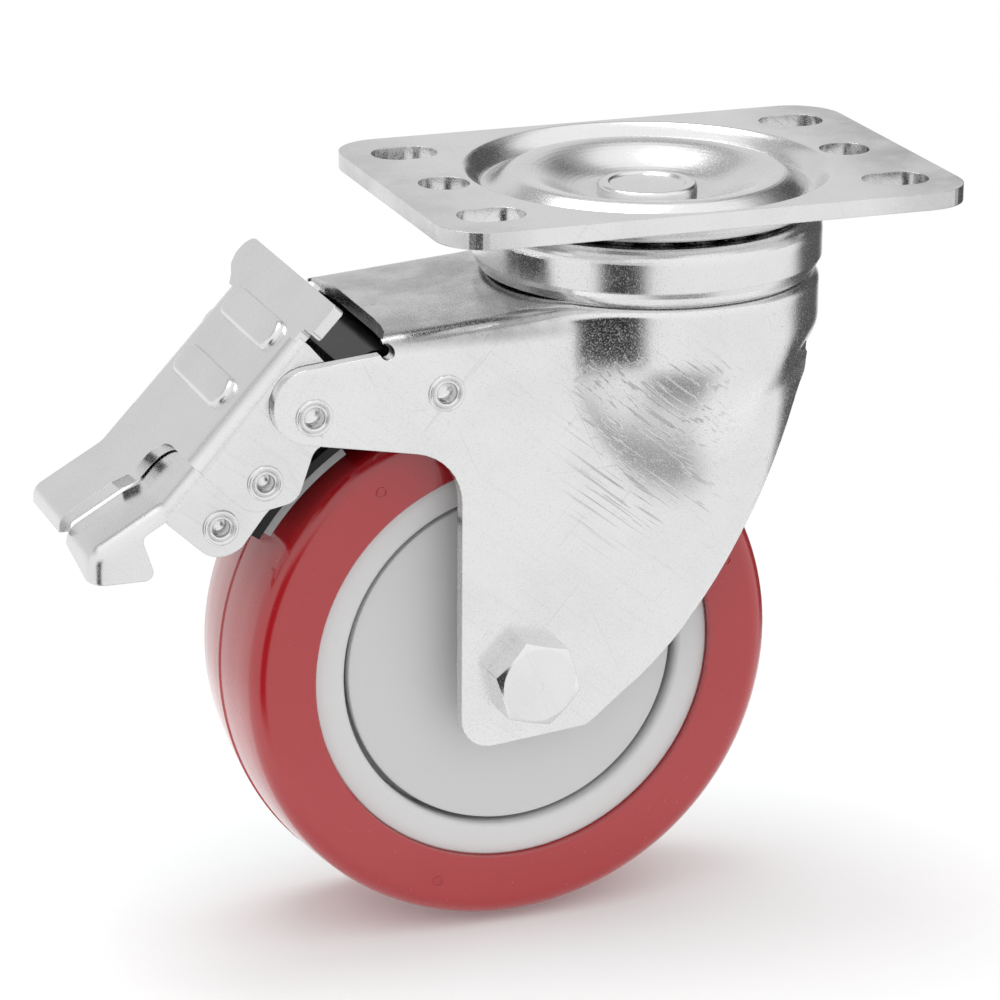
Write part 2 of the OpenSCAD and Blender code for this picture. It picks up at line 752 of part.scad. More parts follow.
// Rim: a ring that carries the tyre, a thin web with ribs and a hub with two bearing seats
module rim() {
    color("gainsboro") difference() {
        union() {
            about_axle() polygon([[cap_r-1.5, -cap_back], [cap_r+cap_gap, -cap_back],
                [cap_r+cap_gap, 0.4-rim_half], [cap_r+cap_gap+0.4, -rim_half], [rim_r, -rim_half],
                [rim_r, rim_half], [cap_r+cap_gap+0.4, rim_half], [cap_r+cap_gap, rim_half-0.4],
                [cap_r+cap_gap, cap_back], [cap_r-1.5, cap_back], [cap_r-1.5, web_half],
                [hub_r, web_half], [hub_r, hub_half], [bearing_d/2-1.5, hub_half],
                [bearing_d/2-1.5, -hub_half], [hub_r, -hub_half], [hub_r, -web_half],
                [cap_r-1.5, -web_half]]);
            for (i = [0:rib_n-1]) translate([axle[0], 0, axle[1]]) rotate([0, i*360/rib_n, 0])
                translate([hub_r-1, -hub_half, -rib_t/2]) cube([cap_r-hub_r, 2*hub_half, rib_t]);
        }
        for (side = [-1, 1]) bar(axle, bearing_d/2, bearing_w+2, side*(hub_half-bearing_w/2+1));
    }
}

module tyre() {
    color("crimson") about_axle() polygon(concat(
        [[rim_r, -rim_half], [rim_r, 0.3-wheel_w/2], [rim_r+0.3, -wheel_w/2]],
        arc([tyre_r-tread_drop-shoulder_r, shoulder_r-wheel_w/2], shoulder_r, -90, 0, 8),
        [[tyre_r, 0]],
        arc([tyre_r-tread_drop-shoulder_r, wheel_w/2-shoulder_r], shoulder_r, 0, 90, 8),
        [[rim_r+0.3, wheel_w/2], [rim_r, wheel_w/2-0.3], [rim_r, rim_half]]));
}

// Pieces of the wheel's two ends: side is 1 at the front, towards -Y, and -1 at the rear
module cap(side) {
    hole = sleeve_d/2+0.6;
    color("silver") about_axle() polygon([[hole, side*cap_back], [cap_r, side*cap_back],
        [cap_r, side*(cap_face-0.3)], [cap_r-0.3, side*cap_face], [hole, side*cap_face]]);
}

module inner_ring(side) {
    color("silver") about_axle() difference() {
        translate([sleeve_d/2+run_fit, side*bearing_y-bearing_w/2])
            square([bearing_pitch_r-bearing_land-sleeve_d/2-run_fit, bearing_w]);
        translate([bearing_pitch_r, side*bearing_y]) circle(d=bearing_ball_d+0.2, $fn=48);
    }
}

module outer_ring(side) {
    color("silver") about_axle() difference() {
        translate([bearing_pitch_r+bearing_land, side*bearing_y-bearing_w/2])
            square([bearing_d/2-bearing_pitch_r-bearing_land, bearing_w]);
        translate([bearing_pitch_r, side*bearing_y]) circle(d=bearing_ball_d+0.2, $fn=48);
    }
}

module bearing_balls(side) {
    color("whitesmoke") for (i = [0:bearing_ball_n-1])
        let (a = (i+0.5)*360/bearing_ball_n)
        translate([axle[0]+bearing_pitch_r*cos(a), -side*bearing_y, axle[1]+bearing_pitch_r*sin(a)])
            sphere(d=bearing_ball_d, $fn=32);
}

module front_cap() {
    cap(1);
}

module rear_cap() {
    cap(-1);
}

module front_inner_ring() {
    inner_ring(1);
}

module rear_inner_ring() {
    inner_ring(-1);
}

module front_outer_ring() {
    outer_ring(1);
}

module rear_outer_ring() {
    outer_ring(-1);
}

module front_bearing_balls() {
    bearing_balls(1);
}

module rear_bearing_balls() {
    bearing_balls(-1);
}

top_plate();
king_pin();
pin_spacer();
lower_race();
lock_ring();
bearing_cup();
crown_ring();
upper_balls();
lower_balls();
fork();
axle_bolt();
axle_nut();
nut_washer();
axle_sleeve();
pedal_pivot();
arm_pivot();
pivot_bush();
arm_spacers();
return_spring();
brake_pedal();
pedal_rivet();
release_lever();
release_rivet();
brake_arm();
brake_shoe();
rim();
tyre();
front_cap();
rear_cap();
front_inner_ring();
rear_inner_ring();
front_outer_ring();
rear_outer_ring();
front_bearing_balls();
rear_bearing_balls();
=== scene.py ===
# %% [markdown]
# A swivel castor with a brake, lit as in a catalogue
# The castor comes ready made from CAD: every solid has its true size and place. This script gives
# those solids their finishes, remodels the ones whose pressed or turned surfaces need more care
# than CAD meshes give, sets the lights and the camera, and ties each new piece to the part of the
# castor that carries it.
# %% Load the CAD frame
import math

import bpy
import numpy as np
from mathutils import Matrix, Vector


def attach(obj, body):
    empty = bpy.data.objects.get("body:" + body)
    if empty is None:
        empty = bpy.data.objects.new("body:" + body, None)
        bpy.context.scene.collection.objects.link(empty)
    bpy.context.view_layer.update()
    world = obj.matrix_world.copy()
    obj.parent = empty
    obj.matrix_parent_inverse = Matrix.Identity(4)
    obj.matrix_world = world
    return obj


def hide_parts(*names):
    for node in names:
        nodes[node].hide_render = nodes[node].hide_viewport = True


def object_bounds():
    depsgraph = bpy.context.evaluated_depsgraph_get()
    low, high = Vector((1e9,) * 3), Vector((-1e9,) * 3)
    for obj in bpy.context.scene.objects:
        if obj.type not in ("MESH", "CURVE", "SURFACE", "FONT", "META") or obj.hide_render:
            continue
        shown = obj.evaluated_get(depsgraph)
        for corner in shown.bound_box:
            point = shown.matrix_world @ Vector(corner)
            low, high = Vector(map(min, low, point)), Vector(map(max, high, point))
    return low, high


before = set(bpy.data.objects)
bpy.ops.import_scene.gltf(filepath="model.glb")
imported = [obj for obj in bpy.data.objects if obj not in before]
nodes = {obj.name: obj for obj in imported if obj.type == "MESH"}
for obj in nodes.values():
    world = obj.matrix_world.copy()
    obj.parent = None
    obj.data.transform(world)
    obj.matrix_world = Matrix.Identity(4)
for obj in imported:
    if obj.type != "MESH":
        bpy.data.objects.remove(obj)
cad_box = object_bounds()
MM = 0.001
print("solids from CAD:", len(nodes))

# %% [markdown]
# The camera
# The photograph was taken with a long lens, a little above the castor and from the left of its
# front. The numbers below were fitted to the plate's holes and the wheel's rings, and the aim is
# held in the castor's middle plane. The camera is built from three directions: back towards the
# photographer, right and up.
# %% Place the camera
def photo_camera(turn, height, roll, distance, focal, aim):
    """A camera that looks at aim; turn, height and roll in degrees, focal length in mm."""
    turn, height, roll = (math.radians(a) for a in (turn, height, roll))
    back = Vector((math.sin(turn)*math.cos(height), -math.cos(turn)*math.cos(height), math.sin(height)))
    right = Vector((math.cos(turn), math.sin(turn), 0))
    up = back.cross(right)
    across = right*math.cos(roll) + up*math.sin(roll)
    above = up*math.cos(roll) - right*math.sin(roll)
    data = bpy.data.cameras.new("photo_camera")
    data.sensor_width = 36
    data.lens = focal
    data.clip_start = 0.01
    camera = bpy.data.objects.new("photo_camera", data)
    bpy.context.scene.collection.objects.link(camera)
    place = Vector(aim) + back*distance
    for row in range(3):
        for column, axis in enumerate((across, above, back)):
            camera.matrix_world[row][column] = axis[row]
        camera.matrix_world[row][3] = place[row]
    return camera


camera = photo_camera(turn=-20.36, height=18.66, roll=0.37, distance=0.7727, focal=156.01,
                      aim=(-0.02727, 0, -0.0591))
bpy.context.scene.camera = camera
bpy.context.scene.view_settings.view_transform = "Standard"
print("camera at", [round(v, 4) for v in camera.matrix_world.translation])

# %% [markdown]
# Shader arithmetic
# A material is a graph of small boxes. Written box by box it is hard to read, so this class wraps
# one output of a box and lets Python's own signs add the next one: a * b adds a Multiply box.
# The method node adds any other kind of box, with its settings first and its inputs after them.
# The class Finish holds one material and plugs values or wires into its Principled shader.
# %% Write shader maths as Python
class Wire:
    """One output of a shader node; plain signs and the methods below add the next node."""

    def __init__(self, tree, socket):
        self.tree = tree
        self.socket = socket

    def node(self, kind, settings=None, out=0, **inputs):
        """Adds a node; an input is named as in Blender, with _ for a space, or i0, i1 and so on."""
        box = self.tree.nodes.new(kind)
        for name, value in (settings or {}).items():
            setattr(box, name, value)
        for name, value in inputs.items():
            key = int(name[1:]) if name[1:].isdigit() else name.replace("_", " ")
            plug = box.inputs[key]
            if isinstance(value, Wire):
                self.tree.links.new(value.socket, plug)
            else:
                plug.default_value = value
        return Wire(self.tree, box.outputs[out])

    def maths(self, operation, *values):
        return self.node("ShaderNodeMath", {"operation": operation},
                         **{f"i{n}": value for n, value in enumerate(values)})

    def __add__(self, other):
        return self.maths("ADD", self, other)

    def __radd__(self, other):
        return self.maths("ADD", other, self)

    def __sub__(self, other):
        return self.maths("SUBTRACT", self, other)

    def __rsub__(self, other):
        return self.maths("SUBTRACT", other, self)

    def __mul__(self, other):
        return self.maths("MULTIPLY", self, other)

    def __rmul__(self, other):
        return self.maths("MULTIPLY", other, self)

    def __truediv__(self, other):
        return self.maths("DIVIDE", self, other)

    def step(self, low, high):
        return self.node("ShaderNodeMapRange", {"interpolation_type": "SMOOTHSTEP"},
                         Value=self, From_Min=low, From_Max=high)

    def noise(self, scale, detail, rough=0.5):
        return self.node("ShaderNodeTexNoise", Vector=self, Scale=scale, Detail=detail, Roughness=rough)

    def axes(self):
        """The x, y and z of a direction or a place, each as a number of its own."""
        split = self.node("ShaderNodeSeparateXYZ", Vector=self).socket.node
        return [Wire(self.tree, output) for output in split.outputs]

    def mix(self, low, high):
        return self.node("ShaderNodeMix", {"data_type": "RGBA"}, out=2, Factor=self, i6=low, i7=high)


class Finish:
    """A material whose Principled shader is fed by name; place is where on the piece a point is."""

    def __init__(self, name, **fixed):
        self.material = bpy.data.materials.new(name)
        self.material.use_nodes = True
        self.tree = self.material.node_tree
        self.shader = self.tree.nodes["Principled BSDF"]
        coordinates = self.tree.nodes.new("ShaderNodeTexCoord")
        self.place = Wire(self.tree, coordinates.outputs["Object"])
        self.feed(**fixed)

    def feed(self, **inputs):
        for name, value in inputs.items():
            plug = self.shader.inputs[name.replace("_", " ")]
            if isinstance(value, Wire):
                self.tree.links.new(value.socket, plug)
            else:
                plug.default_value = value

    def edges(self, radius):
        """Rounds the normals in a narrow band along each edge, so that it catches the light."""
        return self.place.node("ShaderNodeBevel", {"samples": 4}, Radius=radius)

    def bump(self, height, distance, strength=1.0, over=None):
        """Normals bent by a height; over is what they are bent from."""
        extra = {"Normal": over} if over else {}
        return self.place.node("ShaderNodeBump", Height=height, Distance=distance,
                               Strength=strength, **extra)


def grey(value):
    return (value, value, value, 1)


# %% [markdown]
# Bright zinc
# Zinc plate mirrors the studio, but softly: the plating has a fine frosted grain, cloudy patches
# where the bath left it duller, and hair-thin scratches from handling. Patches go to the
# roughness, grain and scratches to a very low bump, so the reflections break up as they do on the
# real sheet. The same recipe with other numbers makes the screws and the turned steel.
# %% Make the metal finishes
HATCH_TURN = -52


def streaks(place, turn, scale, length, low, high):
    """Thin straight marks along z, turned round y by so many degrees."""
    at = place.node("ShaderNodeMapping", {"vector_type": "TEXTURE"}, Vector=place,
                    Rotation=(0, math.radians(turn), 0), Scale=(1, 1, length))
    return place.node("ShaderNodeTexNoise", Vector=at, Scale=scale, Detail=2, Roughness=0.5).step(low, high)


def zinc(name, tone, rough, grain, scratch, edge=0.00025, painted_shade_at=None, hatched=None):
    """Plated or turned metal; painted_shade_at darkens its colour where it is high, as painted shade, and
    hatched scratches it where they are high.
    """
    metal = Finish(name, Metallic=1.0)
    place = metal.place
    cloud = place.noise(70, 4, 0.6)
    speck = place.noise(4200, 2, 0.7)
    x, y, z = place.axes()
    worn = hatched(x, y, z) if hatched else place.noise(28, 2, 0.5).step(0.48, 0.66)*0.5
    hatch = streaks(place, HATCH_TURN, 1500, 34, 0.56, 0.66)*worn
    marks = (streaks(place, 40, 900, 28, 0.66, 0.72) + streaks(place, -25, 700, 40, 0.70, 0.74)
             + streaks(place, 88, 800, 30, 0.71, 0.75))*0.6
    dull = cloud.step(0.35, 0.75)
    pits = place.noise(420, 2, 0.5).step(0.74, 0.78)
    frost = speck.step(0.50, 0.72)
    # Painted shade: a darker colour on the plate's two short ends and on the fork arm's top, standing in
    # for darker reflections there.
    shade_paint = painted_shade_at(x, y, z)*(0.55 + cloud.step(0.3, 0.7)*0.9) if painted_shade_at else 0.0
    metal.feed(Roughness=rough + dull*0.07 + (marks + hatch)*0.12*scratch + frost*0.34*grain,
               Base_Color=(dull*0.10 + (marks + hatch*1.6)*0.22*scratch + pits*0.25*scratch
                           + frost*0.10*grain + shade_paint).mix(grey(tone), grey(tone*0.5)),
               Normal=metal.bump(speck*grain - (marks + hatch*2)*scratch - pits*scratch*2 + cloud*2.0,
                                 0.000012, 1.0, metal.edges(edge)))
    return metal.material


def plate_ends(x, y, z):
    """Painted shade: the plate's colour is darker towards its two short ends."""
    return x.step(0.026, 0.047)*0.55 + (x*-1).step(0.030, 0.048)*0.30


def arm_top(x, y, z):
    """Painted shade: the top of the fork's arm is painted darker, from the bearing back to the mouth."""
    return z.step(-0.0236, -0.0212)*(x*-1).step(0.018, 0.03)*0.62


def pressed_side(x, y, z):
    """Where the press has scratched the sheet: below the crown, on the near half of the cheek."""
    across = x.step(-0.026, -0.016)*(1 - x.step(-0.002, 0.008))
    down = z.step(-0.066, -0.050)*(1 - z.step(-0.030, -0.024))
    return across*down*1.4 + 0.12


# Painted shade on the plate's two short ends, and on the next line on the fork arm's top.
zinc_plate = zinc("zinc_plate", 0.80, 0.15, 0.7, 0.6, painted_shade_at=plate_ends)
zinc_fork = zinc("zinc_fork", 0.82, 0.12, 1.0, 1.0, painted_shade_at=arm_top, hatched=pressed_side)
zinc_lever = zinc("zinc_lever", 0.80, 0.16, 0.6, 0.5)
zinc_fastener = zinc("zinc_fastener", 0.82, 0.13, 0.4, 0.4, 0.0002)
turned_steel = zinc("turned_steel", 0.55, 0.25, 0.3, 0.2)
bearing_steel = zinc("bearing_steel", 0.62, 0.10, 0.1, 0.1)
print("metals:", zinc_plate.name, zinc_fork.name, zinc_fastener.name)

# %% [markdown]
# Black parts
# The brake arm is dipped in gloss black, so it shows only thin highlights in the shadow under the
# fork's mouth. Its shoe is plain grey rubber and the bush is dull nylon.
# %% Make the dark finishes
black = Finish("black_gloss", Specular_IOR_Level=0.22, Coat_Roughness=0.1, Coat_Weight=0.12)
black_spots = black.place.noise(160, 3, 0.6)
black.feed(Base_Color=black_spots.mix(grey(0.004), grey(0.012)), Roughness=0.22 + black_spots*0.15,
           Normal=black.bump(black.place.noise(700, 2), 0.00001, 1.0, black.edges(0.0003)))
shoe_grey = Finish("shoe_rubber", Specular_IOR_Level=0.3)
shoe_grain = shoe_grey.place.noise(900, 3, 0.7)
shoe_grey.feed(Base_Color=shoe_grain.mix(grey(0.30), grey(0.36)), Roughness=0.55 + shoe_grain*0.2,
               Normal=shoe_grey.bump(shoe_grain, 0.00003, 1.0, shoe_grey.edges(0.0003)))
nylon = Finish("black_nylon")
nylon.feed(Base_Color=nylon.place.noise(300, 2).mix(grey(0.012), grey(0.022)), Roughness=0.5)
spring_steel = zinc("spring_steel", 0.30, 0.3, 0.3, 0.2)
print("dark finishes:", black.material.name, shoe_grey.material.name, nylon.material.name)

# %% [markdown]
# Moulded plastic of the rim and the hub caps
# Polypropylene is never quite even: it has a satin skin with a faint orange-peel ripple and tiny
# flow clouds. The caps are a shade darker than the rim, as in the photograph.
# %% Make the plastic finishes
def plastic(name, tone):
    skin = Finish(name, IOR=1.49)
    peel = skin.place.noise(420, 2, 0.5)
    flow = skin.place.noise(45, 3, 0.6)
    skin.feed(Base_Color=flow.mix(grey(tone*0.97), grey(tone*1.03)), Roughness=0.36 + flow*0.08,
              Normal=skin.bump(peel, 0.000012, 1.0, skin.edges(0.0003)))
    return skin.material


rim_grey = plastic("rim_plastic", 0.72)
cap_grey = plastic("cap_plastic", 0.68)
print("plastics:", rim_grey.name, cap_grey.name)

# %% [markdown]
# Red polyurethane
# The tread is cast, so it has the wet gloss of its mould and a deep even colour that looks lighter
# where it mirrors the white room. A clear coat over the red base gives both. The flanks carry the
# faint waves of the casting and a few specks of dust.
# %% Make the tread's finish
red = Finish("red_polyurethane", IOR=1.5, Coat_IOR=1.6, Coat_Weight=0.8, Coat_Roughness=0.05)
red_cloud = red.place.noise(38, 3, 0.5)
red_dust = red.place.noise(1300, 1, 0.5).step(0.74, 0.80)
DEEP_RED = (0.40, 0.003, 0.008, 1)
PALE_RED = (0.46, 0.014, 0.022, 1)
red.feed(Base_Color=(red_cloud*0.6 + red_dust*0.5).mix(DEEP_RED, PALE_RED),
         Roughness=0.24 + red_dust*0.3,
         Normal=red.bump(red_cloud*1.5 + red_dust*0.4, 0.00003, 1.0))
print("red tread:", red.material.name)

# %% [markdown]
# Which solid gets which finish
# Each CAD solid has one material slot, and a finish is given by filling it.
# %% Give the CAD solids their finishes
FINISHES = {
    zinc_plate: ("top_plate", "bearing_cup", "crown_ring"),
    zinc_lever: ("brake_pedal", "release_lever"),
    zinc_fork: ("fork",),
    zinc_fastener: ("king_pin", "axle_bolt", "axle_nut", "nut_washer", "pedal_pivot", "arm_pivot",
                    "pedal_rivet", "release_rivet"),
    turned_steel: ("pin_spacer", "lower_race", "lock_ring", "axle_sleeve", "arm_spacers"),
    bearing_steel: ("upper_balls", "lower_balls", "front_bearing_balls", "rear_bearing_balls",
                    "front_inner_ring", "rear_inner_ring", "front_outer_ring", "rear_outer_ring"),
    black.material: ("brake_arm",),
    shoe_grey.material: ("brake_shoe",),
    nylon.material: ("pivot_bush",),
    spring_steel: ("return_spring",),
    rim_grey: ("rim",),
    cap_grey: ("front_cap", "rear_cap"),
    red.material: ("tyre",),
}
for finish, names in FINISHES.items():
    for name in names:
        nodes[name].data.materials.clear()
        nodes[name].data.materials.append(finish)
print("finished solids:", sum(len(names) for names in FINISHES.values()))

# %% [markdown]
# Selecting, drawing and pulling
# In Blender an operator acts on whatever is selected, so each helper selects its own piece first.
# A flat piece starts as a circle whose corners are moved to the places of a drawing and whose face
# is then pulled straight, as a press or a saw would leave it. Sizes in the helpers are in
# millimetres, as on a drawing.
# %% Helpers for flat pieces
def deselect():
    bpy.ops.object.select_all(action="DESELECT")


def only(piece):
    deselect()
    piece.select_set(True)
    bpy.context.view_layer.objects.active = piece


def drawn(name, points, fill):
    """A ring of edges, or a face, with its corners moved to the given places in mm."""
    deselect()
    bpy.ops.mesh.primitive_circle_add(vertices=len(points), fill_type=fill)
    piece = bpy.context.object
    piece.name = name
    for vertex, place in zip(piece.data.vertices, points):
        vertex.co = Vector(place)*MM
    return piece


def tidy(piece):
    """Merges corners that lie within a hundredth of a millimetre and turns all faces outwards."""
    only(piece)
    bpy.ops.object.mode_set(mode="EDIT")
    bpy.ops.mesh.select_all(action="SELECT")
    bpy.ops.mesh.remove_doubles(threshold=0.01*MM)
    bpy.ops.mesh.dissolve_degenerate(threshold=0.01*MM)
    bpy.ops.mesh.select_all(action="SELECT")
    bpy.ops.mesh.normals_make_consistent(inside=False)
    bpy.ops.object.mode_set(mode="OBJECT")


def prism(name, corners, shift):
    """A flat shape pulled along a shift; corners and shift in mm."""
    piece = drawn(name, corners, "NGON")
    bpy.ops.object.mode_set(mode="EDIT")
    bpy.ops.mesh.select_all(action="SELECT")
    bpy.ops.mesh.extrude_region_move(TRANSFORM_OT_translate={"value": Vector(shift)*MM})
    bpy.ops.object.mode_set(mode="OBJECT")
    tidy(piece)
    return piece


def blank(name, outline, low, high):
    """A side view in x and z, made as thick as from low to high along y."""
    return prism(name, [(x, low, z) for x, z in outline], (0, high - low, 0))


# %% [markdown]
# Rounding and cutting
# Bevel rounds the edges that a test picks by their place. Everything else is done with modifiers
# that are applied at once: Boolean cuts one piece with another or joins them, and Solidify gives a
# thin surface its thickness. The exact solver is slower than the fast one, but it keeps thin
# sheets whole.
# %% Helpers that shape a piece
def round_edges(piece, chosen, radius, segments, crosswise=False):
    """Rounds the edges whose ends both pass the test: those square to y, or all if crosswise."""
    only(piece)
    bpy.ops.object.mode_set(mode="EDIT")
    bpy.ops.mesh.select_mode(type="EDGE")
    bpy.ops.mesh.select_all(action="DESELECT")
    bpy.ops.object.mode_set(mode="OBJECT")
    count = 0
    for edge in piece.data.edges:
        ends = [piece.data.vertices[i].co/MM for i in edge.vertices]
        square = abs(ends[0].y - ends[1].y) < 0.01
        edge.select = all(chosen(end) for end in ends) and (crosswise or square)
        count += edge.select
    bpy.ops.object.mode_set(mode="EDIT")
    bpy.ops.mesh.bevel(offset=radius*MM, segments=segments, affect="EDGES", clamp_overlap=False)
    bpy.ops.object.mode_set(mode="OBJECT")
    print(piece.name, "rounded edges:", count)


def modify(piece, kind, **settings):
    only(piece)
    modifier = piece.modifiers.new(kind.lower(), kind)
    for name, value in settings.items():
        setattr(modifier, name, value)
    bpy.ops.object.modifier_apply(modifier=modifier.name)


def carve(piece, *cutters, operation="DIFFERENCE"):
    for cutter in cutters:
        before = len(piece.data.polygons)
        modify(piece, "BOOLEAN", object=cutter, operation=operation, solver="EXACT")
        print(cutter.name, before, "->", len(piece.data.polygons), "faces")
        bpy.data.objects.remove(cutter)


# %% [markdown]
# Turning
# A wheel, a pin or a rivet comes off a lathe, so it is drawn as half a section and spun round its
# axis. Spin leaves its faces in any direction, which is why they are set right afterwards.
# %% A lathe
def turned(name, profile, centre, axis, steps):
    """A profile of (radius, distance along the axis) in mm, spun round an axis through centre."""
    cx, cy, cz = centre
    if axis == "Y":
        points = [(cx + r, cy + h, cz) for r, h in profile]
    else:
        points = [(cx + r, cy, cz + h) for r, h in profile]
    piece = drawn(name, points, "NOTHING")
    bpy.ops.object.mode_set(mode="EDIT")
    bpy.ops.mesh.select_all(action="SELECT")
    bpy.ops.mesh.spin(steps=steps, angle=2*math.pi, center=Vector(centre)*MM,
                      axis=(0, 1, 0) if axis == "Y" else (0, 0, 1))
    bpy.ops.object.mode_set(mode="OBJECT")
    tidy(piece)
    return piece


def mirrored(profile):
    """The near half of a section and its mirror image on the far side of the wheel's middle."""
    return profile + [(r, -h) for r, h in reversed(profile)]


# %% [markdown]
# Outlines
# Pressed sheet has few sharp corners. An outline is therefore a list of corners, each with the
# radius of its rounding, and the long curves are arcs given by their centre, radius and angles.
# %% Helpers for outlines
def arc(cx, cz, r, start, end, n):
    """Places on an arc from one angle to another, in degrees, as n chords."""
    angles = [math.radians(start + (end - start)*i/n) for i in range(n + 1)]
    return [(cx + r*math.cos(a), cz + r*math.sin(a)) for a in angles]


def rounded(corners, n=8):
    """A closed outline whose corners (x, z, radius) are rounded."""
    outline = []
    for i, (x, z, r) in enumerate(corners):
        here = Vector((x, z))
        if r <= 0:
            outline.append((x, z))
            continue
        back = (Vector(corners[i - 1][:2]) - here).normalized()
        on = (Vector(corners[(i + 1) % len(corners)][:2]) - here).normalized()
        half = back.angle(on)/2
        centre = here + (back + on).normalized()*r/math.sin(half)
        first = here + back*r/math.tan(half) - centre
        turn = first.angle_signed(here + on*r/math.tan(half) - centre)
        outline += [tuple(centre + Vector((math.cos(-turn*k/n)*first.x - math.sin(-turn*k/n)*first.y,
                                           math.sin(-turn*k/n)*first.x + math.cos(-turn*k/n)*first.y)))
                    for k in range(n + 1)]
    return outline


# %% [markdown]
# Handing a piece over
# A new piece is shaded smooth up to an angle, gets its finish and is tied to the body of the
# castor that carries it. The slot tells which sort of material it stands for.
# %% Shade, paint and mount
def settle(piece, body, finish, angle=32):
    only(piece)
    bpy.ops.object.shade_smooth_by_angle(angle=math.radians(angle))
    piece.data.materials.clear()
    piece.data.materials.append(finish)
    for polygon in piece.data.polygons:
        polygon.material_index = 0
    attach(piece, body)
    print(piece.name, len(piece.data.polygons), "faces")


# %% [markdown]
# The fork
# The fork is one sheet of steel pressed over a die: a round crown that flows into two flat cheeks,
# and a channel-shaped arm behind. A boolean of simple solids leaves a hard line where crown and
# cheek meet, and mirror-bright metal shows every such line. So the sheet is made as the press
# makes it: a flat grid is laid over the die's shape row by row, given its thickness, and then
# trimmed with the outline that the press tool cuts.
# %% Sizes of the fork and places of its pins
CHEEK = 22.5
SHEET = 2.5
CROWN_TOP = -17.7
CROWN_R = 30.7
SKIRT_R = 21.0
ARM_START = -22.0
ARM_SLOPE = 4.5
SHEET_FOOT = -99
FRONT_CENTRE = (-83.0, -9.9)
FRONT_R = 106.7
FRONT_OUT = 1.1
AXLE = (-30.0, -84.0)
PEDAL_PIN = (-69.1, -32.7)
ARM_PIN = (-45.4, -30.7)
PEDAL_RIVET = (-77.0, -44.3)
RELEASE_RIVET = (-84.3, -52.2)
PIN_HOLE = 2.55
RIVET_HOLE = 2.3
print("fork over the cheeks:", 2*CHEEK, "mm")

# %% [markdown]
# The shape of the die
# Every place on the sheet is found by going out from the middle: straight sideways behind the
# bearing, and all round it in front. The functions give how far out the die lies there. Where the
# crown's cylinder and the flat cheek meet, the larger of the two counts, with a soft change.
# %% Describe the die
def smooth(t):
    """0 up to 0 and 1 from 1, with an S-shaped change between them."""
    t = np.clip(t, 0, 1)
    return t*t*(3 - 2*t)


def crown_radius(z):
    """The crown is a cylinder whose skirt draws in, out of sight inside the flat cheeks."""
    drop = smooth((-25.5 - z)/46)
    return CROWN_R - (CROWN_R - SKIRT_R)*(1 - (1 - drop)**1.7)


def larger(a, b, k):
    """The larger of two numbers, with a soft change from one to the other."""
    h = np.clip(0.5 + 0.5*(a - b)/k, 0, 1)
    return b*(1 - h) + a*h + k*h*(1 - h)


def reach(x, turn, z):
    """How far the sheet lies from the middle; turn is 90 degrees sideways and 0 in front."""
    behind = larger(np.sqrt(np.maximum(crown_radius(z)**2 - x**2, 0)), CHEEK, 5.0)
    slant = CHEEK/np.sin(np.maximum(turn, math.radians(40)))
    fade = smooth((math.radians(54) - turn)/math.radians(12))*smooth((z + 34)/7)
    before = larger(crown_radius(z), slant*(1 - 0.4*fade), 0.6 + 4.4*smooth((-27 - z)/14))
    return np.where(x < 0, behind, before)


def below_crown(z):
    """0 down to the crown's lower edge and 1 at the foot of the front edge's curve."""
    return smooth((-30 - z)/40)


def front_edge(x, z):
    """The x of the front edge for a place on its arc: a little further out under the crown."""
    return x + FRONT_OUT*(1 - 0.95*below_crown(z))


# %% [markdown]
# Laying the sheet
# The grid's columns run from the back of the arm to the crown's middle and then fan out round its
# front. Each row belongs to the flat top, to the bend or to the side, by its share of the way from
# the middle line to the foot. The columns' and rows' numbers are turned into places in mm for all
# corners at once. Close to the front edge the side curls inwards, as a drawn sheet does.
# %% Lay the grid over the die
ROWS = 200
FAN = 46
TOP_SHARE = 0.12
BEND_SHARE = 0.20
straight = np.concatenate([np.arange(-78, -32, 2.0), np.arange(-32, 0, 1.0)])
columns = np.concatenate([straight, np.zeros(FAN)])
turns = np.concatenate([np.full(len(straight), math.pi/2), np.radians(np.linspace(90, 0, FAN))])
deselect()
bpy.ops.mesh.primitive_grid_add(x_subdivisions=len(columns) - 1, y_subdivisions=ROWS, size=1)
fork = bpy.context.object
fork.name = "fork_sheet"
flat = np.array([vertex.co for vertex in fork.data.vertices])
column = np.rint((flat[:, 0] + 0.5)*(len(columns) - 1)).astype(int)
x = columns[column]
turn = turns[column]
side = np.sign(np.round(flat[:, 1], 6))
along = np.abs(flat[:, 1])*2
top = CROWN_TOP + np.minimum(x - ARM_START, 0)*math.tan(math.radians(ARM_SLOPE))
bend = 4 - 2.2*smooth((x + 30)/16)
down = np.clip((along - BEND_SHARE)/(1 - BEND_SHARE), 0, 1)
low_z = top - bend - down*(top - bend - SHEET_FOOT)
corner = np.radians(90)*np.clip((along - TOP_SHARE)/(BEND_SHARE - TOP_SHARE), 0, 1)
flat_out = reach(x, turn, top - bend) - bend
on_top = along < TOP_SHARE
on_bend = along < BEND_SHARE
out = np.where(on_top, flat_out*along/TOP_SHARE,
               np.where(on_bend, flat_out + bend*np.sin(corner), reach(x, turn, low_z)))
z = np.where(on_top, top, np.where(on_bend, top - bend + bend*np.cos(corner), low_z))
print("grid:", len(columns), "columns and", ROWS + 1, "rows")

